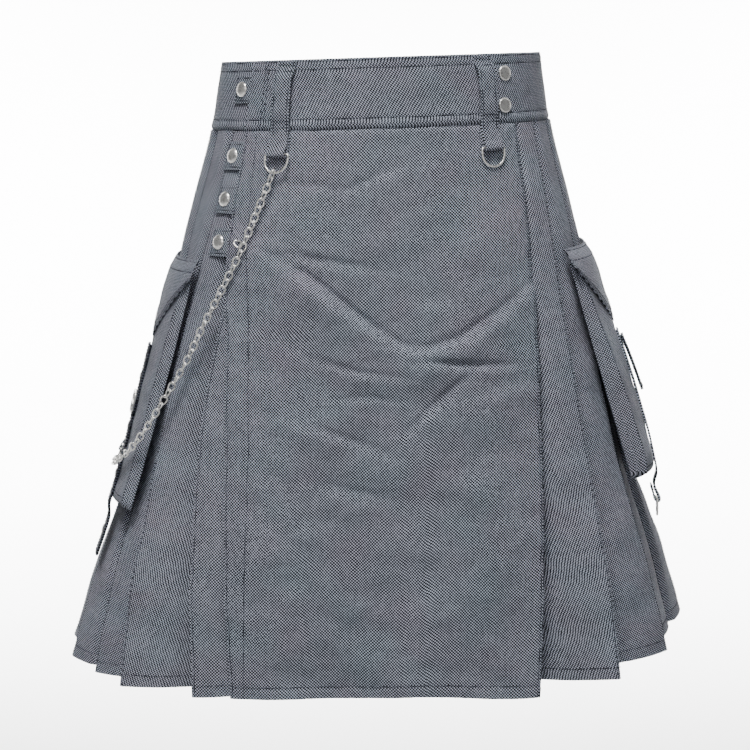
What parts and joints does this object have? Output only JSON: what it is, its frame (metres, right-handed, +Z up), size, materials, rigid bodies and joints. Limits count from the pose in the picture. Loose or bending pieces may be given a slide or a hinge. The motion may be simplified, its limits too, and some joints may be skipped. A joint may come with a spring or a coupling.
{
  "type": "utility kilt",
  "caption": "Knee-length grey-blue twill utility kilt, worn and hollow: flat front apron with snaps, knife pleats, belt loops with D-rings, side pockets and a hanging curb chain.",
  "frame": {"origin": "middle of the waist opening, at half the height of the waistband", "axes": "+Z up, the way the wearer stands; -Y to the front, where the apron is; +X to the right of someone who looks at the front"},
  "size_m": [0.6597, 0.4122, 0.6224],
  "materials": {
    "grey_twill": "matte salt-and-pepper twill",
    "pleat_twill": "matte salt-and-pepper twill",
    "strap_twill": "matte dark twill",
    "nickel": "bright nickel"
  },
  "bodies": {
    "kilt": {"waistband": "grey_twill", "front_apron": "grey_twill", "under_apron": "pleat_twill", "right_side_pleats": "pleat_twill", "right_back_pleats": "pleat_twill", "left_side_pleats": "pleat_twill", "left_back_pleats": "pleat_twill", "snap_tab_band": "grey_twill", "snap_band": "nickel", "snap_tab_upper": "grey_twill", "snap_upper": "nickel", "snap_tab_middle": "grey_twill", "snap_middle": "nickel", "snap_tab_lower": "grey_twill", "snap_lower": "nickel", "snap_right_upper": "nickel", "snap_right_lower": "nickel", "belt_loop_front_left": "grey_twill", "belt_loop_front_right": "grey_twill", "belt_loop_back_right": "grey_twill", "belt_loop_back": "grey_twill", "belt_loop_back_left": "grey_twill", "pocket_left": "pleat_twill", "pocket_flap_left": "pleat_twill", "pocket_right": "pleat_twill", "pocket_flap_right": "pleat_twill", "strap_left": "strap_twill", "strap_right": "grey_twill", "strap_tail_right": "strap_twill", "eyelet_1": "nickel", "eyelet_2": "nickel", "eyelet_3": "nickel", "eyelet_4": "nickel", "buckle_left": "nickel", "chain_tab": "grey_twill", "chain": "nickel"},
    "ring_front_left": {"ring_front_left": "nickel"},
    "ring_front_right": {"ring_front_right": "nickel"},
    "ring_strap_right": {"ring_strap_right": "nickel"},
    "ring_chain_end": {"ring_chain_end": "nickel"}
  },
  "joints": [
    {"name": "swing_ring_front_left", "type": "hinge", "parent": "kilt", "child": "ring_front_left", "pos_m": [-0.09939, -0.11515, -0.05662], "axis": [-0.9094, 0.4149, -0.0286], "range_deg": [0, 2.5]},
    {"name": "swing_ring_front_right", "type": "hinge", "parent": "kilt", "child": "ring_front_right", "pos_m": [0.10743, -0.11124, -0.05012], "axis": [-0.888, -0.459, -0.0279], "range_deg": [0, 140]},
    {"name": "swing_ring_strap_right", "type": "hinge", "parent": "kilt", "child": "ring_strap_right", "pos_m": [0.28601, -0.03512, -0.41301], "axis": [-0.1232, -0.9924, -0.0039], "range_deg": [-40, 130]},
    {"name": "swing_ring_chain_end", "type": "hinge", "parent": "kilt", "child": "ring_chain_end", "pos_m": [-0.26918, -0.0047, -0.36546], "axis": [-0.0086, 1, -0.0003], "range_deg": [0, 5]}
  ]
}
